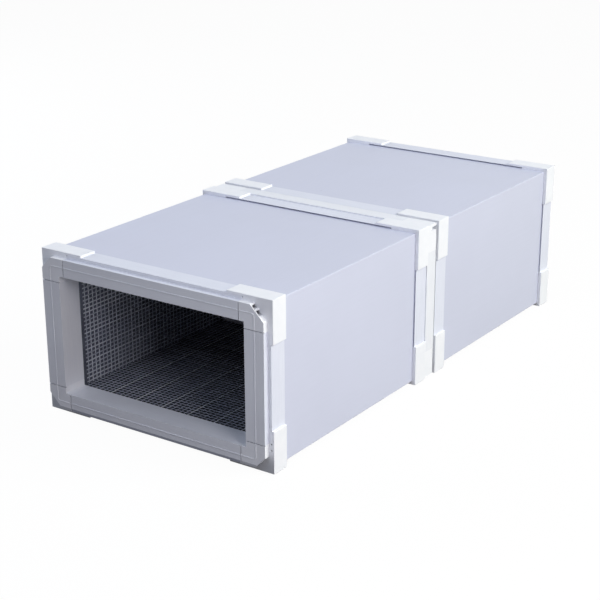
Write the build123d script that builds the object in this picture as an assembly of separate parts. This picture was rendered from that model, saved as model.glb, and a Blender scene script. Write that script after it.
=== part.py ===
# Composite air duct: two rectangular insulated sections in line, joined at a flange
# Units are millimetres; +X is the width, +Y runs from the inlet end to the far end, +Z is up
import os
from build123d import *

# Outline over the corner pieces
duct_width = 500.0
duct_height = 306.0
section_length = 496.0

# Board walls and their dark lining; the side boards are thicker than the flat ones
board_inset = 7.0
side_board_thickness = 35.0
flat_board_thickness = 28.0
lining_thickness = 3.0
board_edge_radius = 1.5

# Straight flange bars
strip_thickness = 3.0
strip_length = 37.0
slot_height = 2.3
flat_slot_depth = 8.0
side_slot_depth = 3.0
plate_thickness = 2.5
inner_leg_thickness = 4.0

# Moulded corner pieces
cap_leg_across = 92.0
cap_leg_upright = 77.0
block_across = 59.0
block_upright = 53.0
corner_seam = 1.3
cap_edge_radius = 1.0

# Plug tongue at the front end of each section
tongue_length = 12.0
tongue_inset = 10.0
tongue_wall = 2.5
tongue_chamfer_large = 27.0
tongue_chamfer_small = 21.0
tongue_rib_offset = 8.0
tongue_cell_end = 18.0
side_bead_inset = 28.0
flat_bead_inset = 24.0
bead_width = 1.6
bead_height = 0.8
bead_radius = 6.0
pin_hole_diameter = 3.0
pin_hole_depth = 8.0
pin_hole_heights = (42.0, 53.5)

# Socket rim at the rear end of the front section
rim_length = 30.5
rim_inset = 2.0
rim_window_length = 18.0
rim_window_height = 7.5
tongue_clearance = 3.0
joint_gap = 6.5

# Insets from the outer faces of the corner pieces, as pairs: at the sides, at top and bottom
strip_top = board_inset - strip_thickness
board_inside = (board_inset + side_board_thickness, board_inset + flat_board_thickness)
lining_inside = (board_inside[0] + lining_thickness, board_inside[1] + lining_thickness)
opening = (lining_inside[0] + inner_leg_thickness, lining_inside[1] + inner_leg_thickness)
bead_inset = (side_bead_inset, flat_bead_inset)
bead_inside = (side_bead_inset + bead_width, flat_bead_inset + bead_width)
rim_wall = tongue_inset - tongue_clearance
tongue_inside = tongue_inset + tongue_wall
rib_inset = tongue_inset + tongue_rib_offset
cell_end_inset = tongue_inset + tongue_cell_end
tongue_back = tongue_wall - tongue_length
socket_floor = rim_length + joint_gap - tongue_length - bead_height

# Where the corner blocks stop and the straight bars start, across and upright
block = (block_across, block_upright)
bar_start = (block_across + corner_seam, block_upright + corner_seam)

# Stations along the duct, counted from the front face of the first corner pieces
near_front = 0.0
near_rear = near_front + section_length
far_front = near_rear + rim_length + joint_gap
far_rear = far_front + section_length
first_face = near_front - tongue_length - bead_height
mid_station = (first_face + far_rear) / 2.0


def pair(value):
    # The same inset at the sides and at top and bottom, unless a pair is given
    return value if isinstance(value, tuple) else (value, value)


def slab(x0, x1, y0, y1, z0, z1):
    lo = (min(x0, x1), min(y0, y1), min(z0, z1))
    hi = (max(x0, x1), max(y0, y1), max(z0, z1))
    size = [h - l for l, h in zip(lo, hi)]
    return Pos(*lo) * Box(*size, align=(Align.MIN, Align.MIN, Align.MIN))


def corner_point(corner, across, up):
    sx, sz = corner
    x = sx * (duct_width / 2.0 - across)
    z = duct_height / 2.0 + sz * (duct_height / 2.0 - up)
    return x, z


class Flange:
    # One flanged end: depth is counted from the end face of the caps into the section
    def __init__(self, station, inward):
        self.station = station - mid_station
        self.inward = inward

    def along(self, depth):
        return self.station + self.inward * depth

    def bar_slab(self, side, in0, in1, depth0, depth1, start=bar_start):
        # A strip of a straight bar on one side, between two insets and two depths
        y0 = self.along(depth0)
        y1 = self.along(depth1)
        if side in ("top", "bottom"):
            z0 = pair(in0)[1]
            z1 = pair(in1)[1]
            x1 = duct_width / 2.0 - start[0]
            if side == "top":
                z0 = duct_height - z0
                z1 = duct_height - z1
            return slab(-x1, x1, y0, y1, z0, z1)
        x0 = duct_width / 2.0 - pair(in0)[0]
        x1 = duct_width / 2.0 - pair(in1)[0]
        if side == "left":
            x0 = -x0
            x1 = -x1
        return slab(x0, x1, y0, y1, start[1], duct_height - start[1])

    def corner_slab(self, corner, across0, across1, up0, up1, depth0, depth1):
        # A block of a corner piece, between insets counted from its two outer faces
        x0, z0 = corner_point(corner, across0, up0)
        x1, z1 = corner_point(corner, across1, up1)
        return slab(x0, x1, self.along(depth0), self.along(depth1), z0, z1)

    def corner_prism(self, corner, outline, depth0, depth1):
        # A block of a corner piece from an outline of inset pairs
        y0 = min(self.along(depth0), self.along(depth1))
        length = abs(depth1 - depth0)
        points = []
        for across, up in outline:
            x, z = corner_point(corner, across, up)
            points.append((x, y0, z))
        face = Face(Wire.make_polygon(points, close=True))
        return extrude(face, amount=length, dir=(0, 1, 0))

    def elbow(self, corner, in0, in1, reach, depth0, depth1):
        # An L-shaped band round the corner between two insets, out to its two reaches
        across0, up0 = pair(in0)
        across1, up1 = pair(in1)
        flat = self.corner_slab(corner, across0, reach[0], up0, up1, depth0, depth1)
        upright = self.corner_slab(corner, across0, across1, up0, reach[1], depth0, depth1)
        return flat + upright

    def stubs(self, corner, in0, in1, depth0, depth1):
        # Two short walls that carry a corner block on to the straight bars
        across0, up0 = pair(in0)
        across1, up1 = pair(in1)
        flat = self.corner_slab(corner, block[0], bar_start[0], up0, up1, depth0, depth1)
        upright = self.corner_slab(corner, across0, across1, block[1], bar_start[1], depth0, depth1)
        return flat, upright


def straight_bar(flange, side, kind):
    # Outer leg on the board, with a slot under its free edge
    start = bar_start
    slot_depth = flat_slot_depth
    if side in ("left", "right"):
        start = (bar_start[0], cap_leg_upright)
        slot_depth = side_slot_depth
    body = flange.bar_slab(side, strip_top, board_inset, 0, strip_length, start)
    body -= flange.bar_slab(
        side, board_inset - slot_height, board_inset, strip_length - slot_depth, strip_length, start)
    if kind == "plug":
        body += flange.bar_slab(side, board_inset, opening, 0, plate_thickness)
        body += flange.bar_slab(side, tongue_inset, tongue_inside, -tongue_length, 0)
        body += flange.bar_slab(side, tongue_inset, opening, -tongue_length, tongue_back)
        body += flange.bar_slab(
            side, bead_inset, bead_inside, -tongue_length - bead_height, -tongue_length)
        body += flange.bar_slab(side, lining_inside, opening, -tongue_length, strip_length)
    if kind == "socket":
        body += flange.bar_slab(side, rim_inset, rim_wall, -rim_length, 0)
        body += flange.bar_slab(
            side, rim_wall, opening, -socket_floor, plate_thickness - socket_floor)
        body += flange.bar_slab(side, lining_inside, opening, -socket_floor, strip_length)
    if kind == "plain":
        body += flange.bar_slab(side, board_inset, opening, 0, plate_thickness)
        body += flange.bar_slab(side, lining_inside, opening, 0, strip_length)
    return body


def bead_ring(flange):
    # Rounded rectangular bead on the front face of the tongue
    outer = RectangleRounded(
        duct_width - 2.0 * bead_inset[0], duct_height - 2.0 * bead_inset[1], bead_radius)
    inner = RectangleRounded(
        duct_width - 2.0 * bead_inside[0], duct_height - 2.0 * bead_inside[1],
        bead_radius - bead_width)
    ring = extrude(outer - inner, amount=bead_height)
    front = flange.along(-tongue_length)
    return Pos(0, front, duct_height / 2.0) * Rot(90, 0, 0) * ring


def corner_piece(flange, corner, kind):
    # Cap legs over the board: the upright one sits straight on it, the other over the bar's end
    body = flange.corner_slab(corner, 0, cap_leg_across, 0, strip_top, 0, strip_length)
    body += flange.corner_slab(corner, 0, board_inset, 0, cap_leg_upright, 0, strip_length)
    body += flange.corner_slab(corner, 0, block_across, 0, board_inset, 0, strip_length)
    body = fillet(cap_edges(corner, body), cap_edge_radius)
    handed = corner[0] * corner[1] > 0
    if kind == "plug":
        body += flange.elbow(corner, board_inset, opening, bar_start, 0, plate_thickness)
        body += flange.elbow(corner, lining_inside, opening, bar_start, 0, strip_length)
        body += corner_tongue(flange, corner, tongue_chamfer_large if handed else tongue_chamfer_small)
        for stub in flange.stubs(corner, tongue_inset, tongue_inside, tongue_back, 0):
            body += stub
        for stub in flange.stubs(corner, lining_inside, opening, tongue_back, 0):
            body += stub
        body += bead_ring(flange) & flange.corner_slab(
            corner, 0, block_across, 0, block_upright, -tongue_length - bead_height, -tongue_length)
        if corner == (1, -1):
            for height in pin_hole_heights:
                body -= pin_hole(flange, height)
    if kind == "socket":
        rim = flange.elbow(corner, rim_inset, rim_wall, bar_start, -rim_length, 0)
        if handed:
            rim -= flange.corner_slab(
                corner, 0, rim_wall, rim_wall, rim_wall + rim_window_height,
                -rim_length, rim_window_length - rim_length)
        body += rim
        body += flange.elbow(
            corner, rim_wall, opening, bar_start, -socket_floor, plate_thickness - socket_floor)
        body += flange.elbow(corner, lining_inside, opening, bar_start, -socket_floor, strip_length)
    if kind == "plain":
        body += flange.elbow(corner, board_inset, opening, bar_start, 0, plate_thickness)
        body += flange.elbow(corner, lining_inside, opening, bar_start, 0, strip_length)
    return body


def cap_edges(corner, cap):
    # Edges of the two outer faces of a cap
    x_out, z_out = corner_point(corner, 0, 0)
    near = 0.001
    chosen = []
    for edge in cap.edges():
        ends = (edge @ 0, edge @ 1)
        on_top = all(abs(p.Z - z_out) < near for p in ends)
        on_side = all(abs(p.X - x_out) < near for p in ends)
        if on_top or on_side:
            chosen.append(edge)
    return chosen


def corner_tongue(flange, corner, cut):
    # Tongue corner with its outer corner cut off, so that two cells stand open beside a rib
    near = tongue_inset
    outline = [(near, block[1]), (near, near + cut), (near + cut, near), (block[0], near)]
    outline += [(block[0], opening[1]), opening, (opening[0], block[1])]
    tongue = flange.corner_prism(corner, outline, -tongue_length, 0)
    cell_side = block[0] - tongue_wall
    hollow = flange.corner_slab(
        corner, tongue_inside, cell_side, tongue_inside, cell_end_inset, tongue_back, 0)
    rib = flange.corner_slab(
        corner, tongue_inside, cell_side, rib_inset, rib_inset + tongue_wall, -tongue_length, 0)
    return tongue - (hollow - rib)


def pin_hole(flange, height):
    # Small blind hole in the flange face beside the tongue
    x = duct_width / 2.0 - tongue_inset / 2.0
    hole = Cylinder(pin_hole_diameter / 2.0, 2.0 * pin_hole_depth)
    return Pos(x, flange.along(0), height) * Rot(90, 0, 0) * hole


def tube_part(inset, y0, y1):
    # Rectangular bar of the section's outline, drawn in by an inset
    across, up = pair(inset)
    half = duct_width / 2.0
    return slab(across - half, half - across, y0, y1, up, duct_height - up)


def board_wall(y0, y1):
    # Insulated board folded round the section, its long outer edges eased
    outer = tube_part(board_inset, y0, y1)
    outer = fillet(outer.edges().filter_by(Axis.Y), board_edge_radius)
    return outer - tube_part(board_inside, y0, y1)


def lining(y0, y1):
    # Dark mesh-faced lining on the inner face of the board
    return tube_part(board_inside, y0, y1) - tube_part(lining_inside, y0, y1)


def save(shape, name):
    shape.label = name
    export_step(shape, "parts/" + name + ".step")


def build():
    os.makedirs("parts", exist_ok=True)
    ends = {
        "near_front": (Flange(near_front, 1), "plug"),
        "near_rear": (Flange(near_rear, -1), "socket"),
        "far_front": (Flange(far_front, 1), "plug"),
        "far_rear": (Flange(far_rear, -1), "plain"),
    }
    corners = {
        "top_left": (-1, 1),
        "top_right": (1, 1),
        "bottom_left": (-1, -1),
        "bottom_right": (1, -1),
    }
    for end, (flange, kind) in ends.items():
        for side in ("top", "bottom", "left", "right"):
            save(straight_bar(flange, side, kind), end + "_" + side + "_bar")
        for name, corner in corners.items():
            save(corner_piece(flange, corner, kind), end + "_" + name + "_corner")
    spans = {
        "near": (near_front + plate_thickness, near_rear + socket_floor - plate_thickness),
        "far": (far_front + plate_thickness, far_rear - plate_thickness),
    }
    for name, (start, end) in spans.items():
        y0 = start - mid_station
        y1 = end - mid_station
        save(board_wall(y0, y1), name + "_board_wall")
        save(lining(y0, y1), name + "_lining")


build()
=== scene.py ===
# Lined air duct of two joined sections: finishes, lining grid, studio and camera
import math
import bpy
from mathutils import Matrix, Vector


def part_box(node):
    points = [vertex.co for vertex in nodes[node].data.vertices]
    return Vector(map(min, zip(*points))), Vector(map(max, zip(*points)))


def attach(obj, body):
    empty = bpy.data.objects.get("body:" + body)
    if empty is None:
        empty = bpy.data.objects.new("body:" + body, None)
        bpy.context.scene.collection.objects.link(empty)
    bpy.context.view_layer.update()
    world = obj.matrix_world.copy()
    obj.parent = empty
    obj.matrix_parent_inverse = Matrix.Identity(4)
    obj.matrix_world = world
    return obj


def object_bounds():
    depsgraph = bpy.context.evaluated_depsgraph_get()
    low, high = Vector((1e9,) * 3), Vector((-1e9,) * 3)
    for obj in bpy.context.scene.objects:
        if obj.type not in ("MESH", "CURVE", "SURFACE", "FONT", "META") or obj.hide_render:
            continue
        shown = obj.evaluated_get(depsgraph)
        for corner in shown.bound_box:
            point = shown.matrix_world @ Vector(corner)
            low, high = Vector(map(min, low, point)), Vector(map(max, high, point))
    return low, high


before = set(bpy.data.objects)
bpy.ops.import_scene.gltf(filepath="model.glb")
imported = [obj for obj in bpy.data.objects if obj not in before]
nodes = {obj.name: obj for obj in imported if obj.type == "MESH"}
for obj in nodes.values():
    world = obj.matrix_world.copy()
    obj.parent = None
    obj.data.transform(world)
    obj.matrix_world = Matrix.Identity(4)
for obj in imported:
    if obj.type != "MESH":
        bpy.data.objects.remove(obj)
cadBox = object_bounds()
print("frame:", len(nodes), "nodes, box", [round(v, 4) for corner in cadBox for v in corner])

# Sizes in metres that the frame's boxes don't give, and the places that follow from them
ductSizes = {"strip": 0.037, "tongue": 0.012, "lining": 0.003}
ductLow, ductHigh = cadBox
boardLow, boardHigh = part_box("near_board_wall")
liningLow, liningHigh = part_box("near_lining")
airwayHalf = liningHigh.x - ductSizes["lining"]
airwayFloor = liningLow.z + ductSizes["lining"]
airwayCeiling = liningHigh.z - ductSizes["lining"]


def bareLength(section):  # from the back of a section's front flange to the start of its rear one
    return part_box(f"{section}_front_top_bar")[1].y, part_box(f"{section}_rear_top_bar")[0].y


flangeBack = bareLength("near")[0]
plateFace = flangeBack - ductSizes["strip"]
tongueFace = plateFace - ductSizes["tongue"]


class Wire:  # one socket of a node tree, so that sums on it are written as sums
    def __init__(self, tree, socket=None):
        self.tree, self.socket = tree, socket

    def node(self, kind, settings=None, inputs=None, out=0):
        made = self.tree.nodes.new(kind)
        for name, value in (settings or {}).items():
            setattr(made, name, value)
        for name, value in (inputs or {}).items():
            for one in value if isinstance(value, list) else [value]:
                if isinstance(one, Wire):
                    self.tree.links.new(one.socket, made.inputs[name])
                else:
                    made.inputs[name].default_value = one
        if isinstance(out, tuple):
            return [Wire(self.tree, made.outputs[one]) for one in out]
        return Wire(self.tree, made.outputs[out])

    def sums(self, operation, *parts):
        return self.node("ShaderNodeMath", {"operation": operation}, dict(enumerate(parts)))

    def __add__(self, other):
        return self.sums("ADD", self, other)

    def __sub__(self, other):
        return self.sums("SUBTRACT", self, other)

    def __rsub__(self, other):
        return self.sums("SUBTRACT", other, self)

    def __mul__(self, other):
        return self.sums("MULTIPLY", self, other)

    def __truediv__(self, other):
        return self.sums("DIVIDE", self, other)

    def __mod__(self, other):
        return self.sums("FLOORED_MODULO", self, other)

    def __gt__(self, other):
        return self.sums("GREATER_THAN", self, other)

    def __lt__(self, other):
        return self.sums("LESS_THAN", self, other)

    def __abs__(self):
        return self.sums("ABSOLUTE", self)

    __radd__, __rmul__ = __add__, __mul__

    def least(self, other):
        return self.sums("MINIMUM", self, other)

    def most(self, other):
        return self.sums("MAXIMUM", self, other)

    def rise(self, low, high):  # 0 below low, 1 above high, smooth between
        return self.node("ShaderNodeMapRange", {"interpolation_type": "SMOOTHSTEP"},
                         {"Value": self, "From Min": low, "From Max": high})

    def stretch(self, scale):
        return self.node("ShaderNodeMapping", {}, {"Vector": self, "Scale": scale})

    def noise(self, size, detail=2.0, rough=0.5):  # size of one blotch in metres
        return self.node("ShaderNodeTexNoise", {},
                         {"Vector": self, "Scale": 1.0 / size, "Detail": detail, "Roughness": rough})

    def blend(self, low, high):  # self is the share of high
        return self.node("ShaderNodeMix", {"data_type": "RGBA"}, {0: self, 6: low, 7: high}, out=2)

    def axes(self):
        return self.node("ShaderNodeSeparateXYZ", {}, {0: self}, out=(0, 1, 2))


def paint(red, green, blue):  # a colour as the screen shows it, 0 to 255
    straight = []
    for value in (red / 255.0, green / 255.0, blue / 255.0):
        straight.append(value / 12.92 if value <= 0.04045 else ((value + 0.055) / 1.055) ** 2.4)
    return (*straight, 1.0)


def openTree(owner):  # emptied node tree of a material or a world
    owner.use_nodes = True
    owner.node_tree.nodes.clear()
    return Wire(owner.node_tree)


def openFinish(name):
    material = bpy.data.materials.new(name)
    start = openTree(material)
    return material, start, start.node("ShaderNodeTexCoord", out="Object")


def closeFinish(start, colour, roughness, height, depth, **fixed):
    bump = start.node("ShaderNodeBump", {}, {"Strength": 1.0, "Distance": depth, "Height": height})
    steady = {name.replace("_", " "): value for name, value in fixed.items()}
    shader = start.node("ShaderNodeBsdfPrincipled", {},
                        {"Base Color": colour, "Roughness": roughness, "Normal": bump, **steady})
    start.node("ShaderNodeOutputMaterial", {}, {"Surface": shader}, out=())


def edgeRub(start, radius, samples=6, faint=0.01, full=0.2):  # 1 along the edges of a part, 0 on its flats
    eased = start.node("ShaderNodeBevel", {"samples": samples}, {"Radius": radius})
    plain = start.node("ShaderNodeNewGeometry", out="Normal")
    level = start.node("ShaderNodeVectorMath", {"operation": "DOT_PRODUCT"}, {0: eased, 1: plain},
                       out="Value")
    return (1.0 - level).rise(faint, full)


def shelter(start, reach, samples=8):  # 0 in the open, towards 1 deep in a recess
    clear = start.node("ShaderNodeAmbientOcclusion", {"samples": samples}, {"Distance": reach}, out="AO")
    return 1.0 - clear


def nearOutside(x, z, inset):  # 1 within this inset of the duct's four long outer faces
    sides = abs(x) > ductHigh.x - inset
    return sides.most(z > ductHigh.z - inset).most(z < ductLow.z + inset)


# Open front end: painted shade on the foot, in the recesses and over the face, on bars and corner pieces
# alike
frontEnd = {
    "facing": -0.8,  # highest y of the normal on a face that looks out of this end
    "plate": (plateFace - 0.0003, plateFace + 0.0031), "face": tongueFace + 0.0006,
    # heights over which the painted shade at the foot of plate and tongue fades out
    "plateShadeFade": (0.008, 0.048), "lipShadeFade": (0.0134, 0.0156),
    # share of the painted recess shade kept behind the front flange
    "back": flangeBack + 0.0011, "shadeElsewhere": 0.15,
    # colour, share and spread of the painted shade on the tongue's face
    "faceShadeColour": paint(104, 88, 100), "faceShade": 0.25, "faceShadeAcross": (-0.25, 0.15), "faceShadeUp": (0.0, 0.2),
}


def frontShade(start, place, colour, look):
    x, y, z = place.axes()
    facing = start.node("ShaderNodeNewGeometry", out="Normal").axes()[1] < frontEnd["facing"]
    face = y < frontEnd["face"]
    # painted shade on the tongue's face, darkest at its lower left
    lessShaded = x.rise(*frontEnd["faceShadeAcross"]) + z.rise(*frontEnd["faceShadeUp"])
    faceShade = facing * face * (1.0 - 0.5 * lessShaded)
    colour = (frontEnd["faceShade"] * faceShade).blend(colour, frontEnd["faceShadeColour"])
    # painted shade on the foot of plate and tongue, and in the recesses
    front, back = frontEnd["plate"]
    plate = (y > front) * (y < back) * (1.0 - z.rise(*frontEnd["plateShadeFade"]))
    lip = face * (1.0 - z.rise(*frontEnd["lipShadeFade"]))
    footShade = facing * plate.most(lip)
    elsewhere = frontEnd["shadeElsewhere"]
    # painted shade in the recesses from ambient occlusion, full at the front flange and faint elsewhere
    paintedShade = shelter(start, look["reach"]).rise(*look["shelter"])
    paintedShade = paintedShade * (elsewhere + (1.0 - elsewhere) * (y < frontEnd["back"]))
    return (look["recessShadeShare"] * paintedShade).most(look["footShade"] * footShade).blend(colour, look["paintedShade"])


# Outer skin of the boards: satin coated sheet, rolled along the duct
boardSkin = {
    "dull": paint(201, 205, 223), "clear": paint(209, 213, 231), "edge": paint(217, 222, 237),
    "scuff": paint(182, 188, 207), "core": paint(214, 216, 222), "gloss": 0.40, "peel": 0.00005,
    "cloudSize": 0.19, "speckSize": 0.0016, "rollSize": 0.0045, "rollStretch": (1.0, 0.03, 1.0),
    # height and topDepth place the painted light that grows paler with height
    "peelSize": 0.0034, "tone": (0.3, 0.7), "height": (-0.02, 0.31), "topDepth": 0.0005,
    "rubWidth": (0.0004, 0.0038), "rubSize": 0.012, "rubSpread": (0.34, 0.62), "rubShare": 0.12,
    "scuffSize": 0.011, "scuffStretch": (1.0, 0.16, 1.0), "scuffSpread": (0.70, 0.78),
    "patchSize": 0.09, "patchSpread": (0.5, 0.62), "scuffShare": 0.45,
    "foamInset": 0.0076, "foamEdge": (0.0012, 0.0016), "foamSize": 0.0022, "foamTone": (0.3, 0.7),
}


def boardSkinFinish():
    look = boardSkin
    material, start, place = openFinish("boardSkin")
    x, _, z = place.axes()
    cloud = place.noise(look["cloudSize"], detail=3.0)
    speck = place.noise(look["speckSize"], detail=1.0)
    roll = place.stretch(look["rollStretch"]).noise(look["rollSize"])
    peel = place.noise(look["peelSize"])
    tone = (0.62 * cloud + 0.2 * roll + 0.18 * speck).rise(*look["tone"])
    # painted light: paler with height, the top face less so
    paintedHeightLight = z.rise(*look["height"]) - 0.5 * (z > boardHigh.z - look["topDepth"])
    colour = (0.55 * tone + 0.45 * paintedHeightLight).blend(look["dull"], look["clear"])
    # long edges rubbed paler where the sheet is folded
    edge = (boardHigh.x - abs(x)).most((z - boardLow.z).least(boardHigh.z - z))
    worn = place.noise(look["rubSize"], detail=3.0).rise(*look["rubSpread"])
    rub = (1.0 - edge.rise(*look["rubWidth"])) * worn
    colour = (look["rubShare"] * rub).blend(colour, look["edge"])
    # a few faint handling scuffs along the sheet
    drift = place.stretch(look["scuffStretch"]).noise(look["scuffSize"], detail=3.0, rough=0.6)
    patch = place.noise(look["patchSize"], detail=1.0).rise(*look["patchSpread"])
    scuff = drift.rise(*look["scuffSpread"]) * patch
    colour = (look["scuffShare"] * scuff).blend(colour, look["scuff"])
    # cut ends and inner face show the foam core
    inside = edge.rise(*look["foamEdge"]) * (1.0 - nearOutside(x, z, look["foamInset"]))
    foam = place.noise(look["foamSize"]).rise(*look["foamTone"])
    colour = inside.blend(colour, foam.blend(look["dull"], look["core"]))
    rough = look["gloss"] + 0.12 * (cloud - 0.5) + 0.06 * (speck - 0.5) + 0.15 * scuff - 0.06 * rub
    closeFinish(start, colour, rough, 0.7 * peel + 0.3 * roll - 0.3 * scuff, look["peel"])
    return material


# Extruded flange bars: grey-white strips and tongue sides, the rest whiter
flangeBar = {
    "strip": paint(228, 232, 244), "stripDull": paint(220, 224, 237), "stripInset": 0.0072,
    "tongue": (tongueFace + 0.0003, plateFace - 0.0002), "tongueInset": 0.0104,
    "bare": paint(240, 243, 248), "bareDull": paint(232, 235, 242), "edge": paint(246, 248, 252),
    # colour and shares of the painted shade in recesses and at the foot
    "paintedShade": paint(84, 89, 112), "recessShadeShare": 0.4, "footShade": 0.75, "reach": 0.012, "shelter": (0.5, 0.95),
    "gloss": 0.42, "grain": 0.00004, "drawAcross": (0.03, 1.0, 1.0), "drawUpright": (1.0, 1.0, 0.03),
    "lineSize": 0.0016, "cloudSize": 0.06, "speckSize": 0.0011, "tone": (0.32, 0.68),
    "rubRadius": 0.0009, "rubSize": 0.006, "rubSpread": (0.3, 0.6), "rubShare": 0.55,
}


def flangeBarFinish(name, draw):  # draw squeezes the die lines along the bar
    look = flangeBar
    material, start, place = openFinish(name)
    x, y, z = place.axes()
    lines = place.stretch(draw).noise(look["lineSize"], rough=0.6)
    cloud = place.noise(look["cloudSize"], detail=3.0)
    speck = place.noise(look["speckSize"], detail=1.0)
    tone = (0.45 * lines + 0.35 * cloud + 0.2 * speck).rise(*look["tone"])
    # strips over the board ends, one band for each flange
    strip = 0.0
    for section in ("near", "far"):
        front, rear = bareLength(section)
        for low, high in ((front - ductSizes["strip"], front), (rear, rear + ductSizes["strip"])):
            strip = ((y > low) * (y < high)).most(strip)
    low, high = look["tongue"]
    tongue = (y > low) * (y < high) * nearOutside(x, z, look["tongueInset"])
    strip = (strip * nearOutside(x, z, look["stripInset"])).most(tongue)
    colour = strip.blend(tone.blend(look["bareDull"], look["bare"]),
                         tone.blend(look["stripDull"], look["strip"]))
    rub = edgeRub(start, look["rubRadius"]) * place.noise(look["rubSize"]).rise(*look["rubSpread"])
    colour = (look["rubShare"] * rub).blend(colour, look["edge"])
    colour = frontShade(start, place, colour, look)
    rough = look["gloss"] + 0.14 * (lines - 0.5) + 0.06 * (cloud - 0.5) - 0.08 * rub
    closeFinish(start, colour, rough, 0.8 * lines + 0.2 * speck, look["grain"])
    return material


# Moulded corner pieces: white, finely grained
cornerPiece = {
    "dull": paint(241, 244, 249), "clear": paint(246, 248, 252), "edge": paint(250, 251, 254),
    # colour and shares of the painted shade in recesses and at the foot
    "paintedShade": paint(54, 60, 80), "recessShadeShare": 0.85, "footShade": 0.5, "reach": 0.014, "shelter": (0.5, 0.9),
    "gloss": 0.38, "grain": 0.00005,
    "cloudSize": 0.035, "grainSize": 0.0009, "flowSize": 0.011, "tone": (0.32, 0.68),
    "rubRadius": 0.0012, "rubSize": 0.005, "rubSpread": (0.3, 0.6), "rubShare": 0.6,
}


def cornerPieceFinish():
    look = cornerPiece
    material, start, place = openFinish("cornerPiece")
    cloud = place.noise(look["cloudSize"], detail=3.0)
    grain = place.noise(look["grainSize"], rough=0.6)
    flow = place.noise(look["flowSize"])
    tone = (0.5 * cloud + 0.3 * flow + 0.2 * grain).rise(*look["tone"])
    colour = tone.blend(look["dull"], look["clear"])
    rub = edgeRub(start, look["rubRadius"]) * place.noise(look["rubSize"]).rise(*look["rubSpread"])
    colour = (look["rubShare"] * rub).blend(colour, look["edge"])
    colour = frontShade(start, place, colour, look)
    rough = look["gloss"] + 0.10 * (flow - 0.5) + 0.08 * (grain - 0.5) - 0.08 * rub
    closeFinish(start, colour, rough, grain, look["grain"])
    return material


# Dark lining behind the grid: sealed, slightly uneven coat, with painted light making it paler on the side
# walls and paler upwards there
liningCoat = {
    "deep": paint(18, 19, 23), "worn": paint(34, 36, 42),
    # side colours and heights: painted light, paler on the side walls and upwards there
    "sideLitDeep": paint(74, 78, 90), "sideLitPale": paint(144, 150, 164),
    "sideDepth": 0.0005, "sideLitHeight": (0.16, 0.25),
    "gloss": 0.62, "grain": 0.00018, "shine": 0.25,
    "cloudSize": 0.05, "grainSize": 0.0021, "tone": (0.34, 0.7),
}


def liningCoatFinish():
    look = liningCoat
    material, start, place = openFinish("liningCoat")
    cloud = place.noise(look["cloudSize"], detail=3.0)
    grain = place.noise(look["grainSize"], detail=3.0, rough=0.65)
    tone = (0.55 * cloud + 0.45 * grain).rise(*look["tone"])
    x, _, z = place.axes()
    flat = tone.blend(look["deep"], look["worn"])
    # painted light: side walls paler than floor and ceiling, rising with height
    side = (0.4 * tone + 0.6 * z.rise(*look["sideLitHeight"])).blend(look["sideLitDeep"], look["sideLitPale"])
    colour = (abs(x) > airwayHalf - look["sideDepth"]).blend(flat, side)
    rough = look["gloss"] + 0.22 * (grain - 0.5) + 0.1 * (cloud - 0.5)
    closeFinish(start, colour, rough, grain, look["grain"], Specular_IOR_Level=look["shine"])
    return material


# Grid strands: sized glass yarn, every strand a little different, with painted light making them paler on the
# side walls and paler upwards there
gridStrand = {
    "dull": paint(150, 155, 169), "clear": paint(198, 203, 216),
    "rib": paint(247, 251, 255), "ribShare": 0.95,
    # side colours and heights: painted light, paler on the side walls and upwards there
    "sideLitDull": paint(166, 171, 185), "sideLitClear": paint(238, 242, 249),
    "sideDepth": 0.0016, "sideLitHeight": (0.14, 0.25),
    "gloss": 0.5, "fibre": 0.00012, "shine": 0.25,
    "fraySize": 0.0042, "fibreSize": 0.0006, "tone": (0.2, 0.8),
}


def gridStrandFinish():
    look = gridStrand
    material, start, place = openFinish("gridStrand")
    own = start.node("ShaderNodeAttribute", {"attribute_name": "strandTone"}, out="Fac")
    rib = start.node("ShaderNodeAttribute", {"attribute_name": "strandRib"}, out="Fac")
    fray = place.noise(look["fraySize"], detail=3.0, rough=0.6)
    fibre = place.noise(look["fibreSize"])
    tone = (0.5 * own + 0.3 * fray + 0.2 * fibre).rise(*look["tone"])
    x, _, z = place.axes()
    flat = tone.blend(look["dull"], look["clear"])
    # painted light: side-wall strands paler, rising with height
    side = (0.5 * tone + 0.6 * z.rise(*look["sideLitHeight"])).blend(look["sideLitDull"], look["sideLitClear"])
    colour = (abs(x) > airwayHalf - look["sideDepth"]).blend(flat, side)
    colour = (look["ribShare"] * rib).blend(colour, look["rib"])
    rough = look["gloss"] + 0.2 * (fray - 0.5) + 0.1 * (own - 0.5)
    closeFinish(start, colour, rough, fibre, look["fibre"], Specular_IOR_Level=look["shine"])
    return material


skinLook = boardSkinFinish()
crossBarLook = flangeBarFinish("flangeBarAcross", flangeBar["drawAcross"])
uprightBarLook = flangeBarFinish("flangeBarUpright", flangeBar["drawUpright"])
cornerLook = cornerPieceFinish()
liningLook = liningCoatFinish()
strandLook = gridStrandFinish()
print("finishes:", len(bpy.data.materials), "materials")

for name, piece in nodes.items():
    if name.endswith("_corner"):
        look = cornerLook
    elif name.endswith("_bar"):
        look = crossBarLook if "_top_" in name or "_bottom_" in name else uprightBarLook
    elif name.endswith("_lining"):
        look = liningLook
    else:
        look = skinLook
    for slot in piece.material_slots:
        slot.material = look
print("finishes put on the frame")

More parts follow.
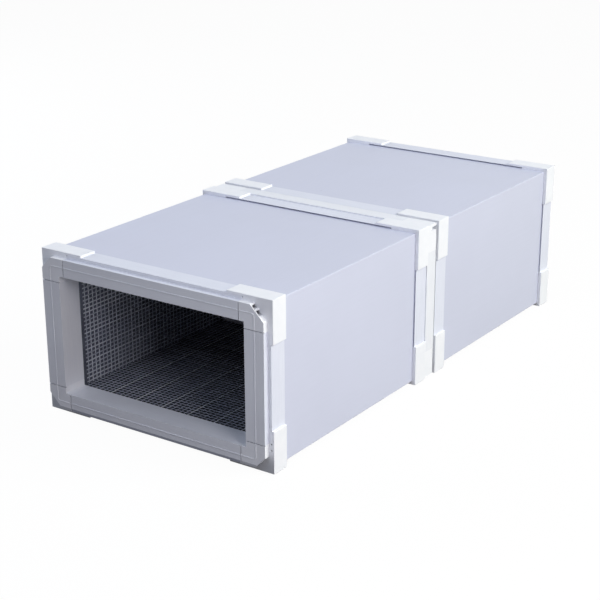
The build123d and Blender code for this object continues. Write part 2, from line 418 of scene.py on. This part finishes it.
# Woven grid bonded to the lining, one for each inner wall: ends tucked under the flange legs,
# but the side walls are bare for a little behind the front flange
liningGrid = {
    "flat": {"strand": 0.0014, "across": 42, "pitch": 0.00975, "along": 49,
             "offCentre": 0.000875, "bareStart": 0.0, "ribEvery": 6},
    "side": {"strand": 0.0027, "across": 29, "pitch": 0.00785, "along": 40,
             "offCentre": 0.0, "bareStart": 0.0125, "ribEvery": 1000},  # more than there are, so none
    "thickness": 0.0009, "strandSides": 6, "ribSize": 3.0, "press": 0.46, "tuck": 0.0008,
    "weave": 0.0003, "wander": 0.0007, "wanderScale": 32.0,
    "seeds": {"near": 11, "far": 31}, "crossSeed": 50,
}


def gridTree():
    tree = bpy.data.node_groups.new("liningGrid", "GeometryNodeTree")
    tree.interface.new_socket("Geometry", in_out="INPUT", socket_type="NodeSocketGeometry")
    for kind, labels in (
            ("Float", ("Pitch Across", "Pitch Along", "Strand Width", "Strand Thickness",
                       "Weave", "Wander", "Rib Size")),
            ("Int", ("Count Across", "Count Along", "Rib Every", "Seed")),
            ("Vector", ("Seat", "Turn")),
            ("Material", ("Finish",))):
        for label in labels:
            tree.interface.new_socket(label, in_out="INPUT", socket_type="NodeSocket" + kind)
    tree.interface.new_socket("Geometry", in_out="OUTPUT", socket_type="NodeSocketGeometry")
    start = Wire(tree)
    entry = tree.nodes.new("NodeGroupInput")
    given = {socket.name: Wire(tree, socket) for socket in entry.outputs if socket.name}

    def vector(x=0.0, y=0.0, z=0.0):
        return start.node("ShaderNodeCombineXYZ", {}, {0: x, 1: y, 2: z})

    across, along = given["Count Across"], given["Count Along"]
    width, length = across * given["Pitch Across"], along * given["Pitch Along"]
    thick = given["Strand Thickness"]
    # strand outline: a ring one across, scaled to width and thickness
    oval = start.node("GeometryNodeCurvePrimitiveCircle", {"mode": "RADIUS"},
                      {"Resolution": liningGrid["strandSides"], "Radius": 0.5})
    oval = start.node("GeometryNodeTransform", {},
                      {"Geometry": oval, "Scale": vector(given["Strand Width"], thick, 1.0)})
    x, y, _ = start.node("GeometryNodeInputPosition").axes()
    step = x / given["Pitch Across"] + y / given["Pitch Along"] + 0.5 * (across + along) - 1.0
    wave = start.sums("COSINE", step * math.pi) * given["Weave"]
    order = start.node("GeometryNodeInputIndex")
    # every sixth long strand of a floor or ceiling is a heavier one
    ribs = (order % given["Rib Every"] < 0.5) * (order > 0.5)
    sets = []
    for setOut, lie, count, others, pitch, reach, run, heavy, flip, seedStep in (
            ("x", "y", across, along, given["Pitch Across"], width, length, ribs, 1.0, 0),
            ("y", "x", along, across, given["Pitch Along"], length, width, 0.0, -1.0,
             liningGrid["crossSeed"])):
        first, shift = 0.5 * (pitch - reach), 0.5 * run
        dots = start.node("GeometryNodeMeshLine", {"mode": "OFFSET"}, {
            "Count": count, "Start Location": vector(**{setOut: first}), "Offset": vector(**{setOut: pitch})})
        yarn = start.node("GeometryNodeCurvePrimitiveLine", {}, {
            "Start": vector(**{lie: 0.0 - shift}), "End": vector(**{lie: shift})})
        yarn = start.node("GeometryNodeResampleCurve", {}, {"Curve": yarn, "Count": 2 * others + 1})
        yarns = start.node("GeometryNodeInstanceOnPoints", {}, {"Points": dots, "Instance": yarn})
        yarns = start.node("GeometryNodeRealizeInstances", {}, {"Geometry": yarns})
        chance = start.node("FunctionNodeRandomValue", {"data_type": "FLOAT"},
                            {"ID": order, "Seed": given["Seed"] + seedStep}, out=1)
        for label, value in (("strandRib", heavy), ("strandTone", chance)):
            yarns = start.node("GeometryNodeStoreNamedAttribute", {"data_type": "FLOAT", "domain": "CURVE"},
                               {"Geometry": yarns, "Name": label, "Value": value})
        mark = start.node("GeometryNodeInputNamedAttribute", {"data_type": "FLOAT"}, {"Name": "strandRib"})
        girth = 1.0 + mark * (given["Rib Size"] - 1.0)
        yarns = start.node("GeometryNodeSetCurveRadius", {}, {"Curve": yarns, "Radius": girth})
        # strands wander a little, pass over and under each other and are pressed onto the lining
        sway = start.node("ShaderNodeTexNoise", {"noise_dimensions": "4D"},
                          {"W": given["Seed"], "Scale": liningGrid["wanderScale"], "Detail": 1.0}, out=1)
        swayX, swayY, _ = sway.axes()
        lift = given["Weave"] + liningGrid["press"] * thick * girth
        offset = vector((swayX - 0.5) * given["Wander"], (swayY - 0.5) * given["Wander"],
                        wave * flip + lift)
        yarns = start.node("GeometryNodeSetPosition", {}, {"Geometry": yarns, "Offset": offset})
        yarns = start.node("GeometryNodeSetCurveNormal", {"mode": "Z_UP"}, {"Curve": yarns})
        sets.append(start.node("GeometryNodeCurveToMesh", {},
                               {"Curve": yarns, "Profile Curve": oval, "Fill Caps": True}))
    grid = start.node("GeometryNodeJoinGeometry", {}, {"Geometry": sets})
    grid = start.node("GeometryNodeSetShadeSmooth", {}, {"Geometry": grid})
    grid = start.node("GeometryNodeTransform", {},
                      {"Geometry": grid, "Translation": given["Seat"], "Rotation": given["Turn"]})
    grid = start.node("GeometryNodeRealizeInstances", {}, {"Geometry": grid})
    grid = start.node("GeometryNodeSetMaterial", {}, {"Geometry": grid, "Material": given["Finish"]})
    leave = tree.nodes.new("NodeGroupOutput")
    tree.links.new(grid.socket, leave.inputs[0])
    return tree


def layGrid(tree, section, wall, seed):
    kind = liningGrid["flat" if wall in ("floor", "ceiling") else "side"]
    front, rear = bareLength(section)
    low = front - liningGrid["tuck"] + kind["bareStart"]
    high = rear + liningGrid["tuck"]
    middle = 0.5 * (low + high)
    upright = 0.5 * (airwayFloor + airwayCeiling) + kind["offCentre"]
    seat, turn = {
        "floor": ((kind["offCentre"], middle, airwayFloor), 0.0),
        "ceiling": ((-kind["offCentre"], middle, airwayCeiling), math.pi),
        "left": ((-airwayHalf, middle, upright), math.pi / 2.0),
        "right": ((airwayHalf, middle, upright), -math.pi / 2.0),
    }[wall]
    values = {
        "Pitch Across": kind["pitch"], "Pitch Along": (high - low) / kind["along"],
        "Strand Width": kind["strand"], "Strand Thickness": liningGrid["thickness"],
        "Weave": liningGrid["weave"], "Wander": liningGrid["wander"], "Rib Size": liningGrid["ribSize"],
        "Count Across": kind["across"], "Count Along": kind["along"],
        "Rib Every": kind["ribEvery"], "Seed": seed,
        "Seat": seat, "Turn": (0.0, turn, 0.0), "Finish": strandLook,
    }
    name = f"{section}_{wall}_grid"
    piece = bpy.data.objects.new(name, bpy.data.meshes.new(name))
    bpy.context.scene.collection.objects.link(piece)
    modifier = piece.modifiers.new("liningGrid", "NODES")
    modifier.node_group = tree
    for item in tree.interface.items_tree:
        if item.in_out == "INPUT" and item.name in values:
            modifier[item.identifier] = values[item.name]
    bpy.context.view_layer.update()
    solid = bpy.data.meshes.new_from_object(piece.evaluated_get(bpy.context.evaluated_depsgraph_get()))
    piece.modifiers.clear()
    piece.data = solid
    solid.name = name
    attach(piece, "root")
    print(name, len(solid.polygons), "faces")


weaveTree = gridTree()
for section, firstSeed in liningGrid["seeds"].items():
    for place, wall in enumerate(("floor", "ceiling", "left", "right")):
        layGrid(weaveTree, section, wall, firstSeed + place)

# Studio: pale floor, even surround, soft lamps on the right, high in front, at the front right and left
studio = {
    "lamps": {
        "keyLamp": {"place": (3.35, 1.0, 2.5), "size": 2.4, "power": 151.0, "colour": (0.985, 1.0, 0.94)},
        "highLamp": {"place": (0.2, -4.2, 4.7), "size": 3.2, "power": 67.0, "colour": (0.74, 0.83, 1.0)},
        "frontLamp": {"place": (4.77, -2.32, 3.74), "size": 2.6, "power": 34.0,
                      "colour": (1.0, 0.92, 0.82)},
        "lowLamp": {"place": (2.12, -1.36, 0.88), "size": 0.75, "power": 13.8, "colour": (1.0, 0.95, 1.0)},
        "fillLamp": {"place": (-3.6, 0.0, 1.3), "size": 2.4, "power": 108.0, "colour": (0.78, 0.86, 1.0)},
    },
    "aim": (0.0, 0.0, 0.15), "white": (1.0, 1.0, 1.0, 1.0),
    "surround": (0.87, 0.82, 1.0, 1.0), "surroundLevel": 0.095,
    "floorHalf": 18.0, "floorDrop": 0.0006, "floorGrey": (0.16, 0.162, 0.17, 1.0), "floorWhite": 0.965,
}


def seenDirectly(start):  # rays that should meet the white surround
    camera, glossy, through = start.node(
        "ShaderNodeLightPath", out=("Is Camera Ray", "Is Glossy Ray", "Is Transmission Ray"))
    return camera.most(glossy).most(through)


def layFloor():
    half, level = studio["floorHalf"], -studio["floorDrop"]
    corners = [(-half, -half, level), (half, -half, level), (half, half, level), (-half, half, level)]
    sheet = bpy.data.meshes.new("studioFloor")
    sheet.from_pydata(corners, [], [(0, 1, 2, 3)])
    floor = bpy.data.objects.new("studioFloor", sheet)
    bpy.context.scene.collection.objects.link(floor)
    material = bpy.data.materials.new("studioFloor")
    start = openTree(material)
    bounce = start.node("ShaderNodeBsdfDiffuse", {}, {"Color": studio["floorGrey"]})
    shaded = start.node("ShaderNodeBsdfDiffuse", {}, {"Color": studio["white"]})
    white = start.node("ShaderNodeEmission", {}, {"Color": studio["white"], "Strength": 1.0})
    seen = start.node("ShaderNodeMixShader", {}, {0: studio["floorWhite"], 1: shaded, 2: white})
    both = start.node("ShaderNodeMixShader", {}, {0: seenDirectly(start), 1: bounce, 2: seen})
    start.node("ShaderNodeOutputMaterial", {}, {"Surface": both}, out=())
    sheet.materials.append(material)


def lightStudio():
    world = bpy.data.worlds.new("studioSurround")
    start = openTree(world)
    ambient = start.node("ShaderNodeBackground", {},
                         {"Color": studio["surround"], "Strength": studio["surroundLevel"]})
    white = start.node("ShaderNodeBackground", {}, {"Color": studio["white"], "Strength": 1.0})
    both = start.node("ShaderNodeMixShader", {}, {0: seenDirectly(start), 1: ambient, 2: white})
    start.node("ShaderNodeOutputWorld", {}, {"Surface": both}, out=())
    bpy.context.scene.world = world
    for name, values in studio["lamps"].items():
        data = bpy.data.lights.new(name, "AREA")
        data.shape = "SQUARE"
        data.size = values["size"]
        data.energy = values["power"]
        data.color = values["colour"]
        lamp = bpy.data.objects.new(name, data)
        lamp.location = values["place"]
        lamp.rotation_euler = (Vector(studio["aim"]) - lamp.location).to_track_quat("-Z", "Y").to_euler()
        lamp.visible_glossy = False  # gloss shows the white surround, not the lamps
        bpy.context.scene.collection.objects.link(lamp)


# Camera at the viewing angle of the picture, worked out for a 600 by 600 frame
eye = {
    "place": (1.5338, -2.2948, 1.0885), "yaw": -0.6035, "down": 0.3618, "roll": 0.0031,
    "lens": 88.60, "sensor": 36.0, "shift": 0.05, "near": 0.05, "far": 60.0,
}


def placeCamera():
    data = bpy.data.cameras.new("eye")
    data.sensor_fit = "HORIZONTAL"
    data.sensor_width = eye["sensor"]
    data.lens = eye["lens"]
    data.shift_y = eye["shift"]
    data.clip_start = eye["near"]
    data.clip_end = eye["far"]
    level = math.cos(eye["down"])
    ahead = Vector((math.sin(eye["yaw"]) * level, math.cos(eye["yaw"]) * level, -math.sin(eye["down"])))
    right = Vector((math.cos(eye["yaw"]), -math.sin(eye["yaw"]), 0.0))
    below = ahead.cross(right)
    turned = math.cos(eye["roll"]) * right + math.sin(eye["roll"]) * below
    up = math.sin(eye["roll"]) * right - math.cos(eye["roll"]) * below
    facing = Matrix((turned, up, -ahead)).transposed().to_4x4()
    camera = bpy.data.objects.new("eye", data)
    camera.matrix_world = Matrix.Translation(eye["place"]) @ facing
    bpy.context.scene.collection.objects.link(camera)
    bpy.context.scene.camera = camera


layFloor()
lightStudio()
placeCamera()
bpy.context.scene.view_settings.view_transform = "Standard"
print("studio and camera placed")
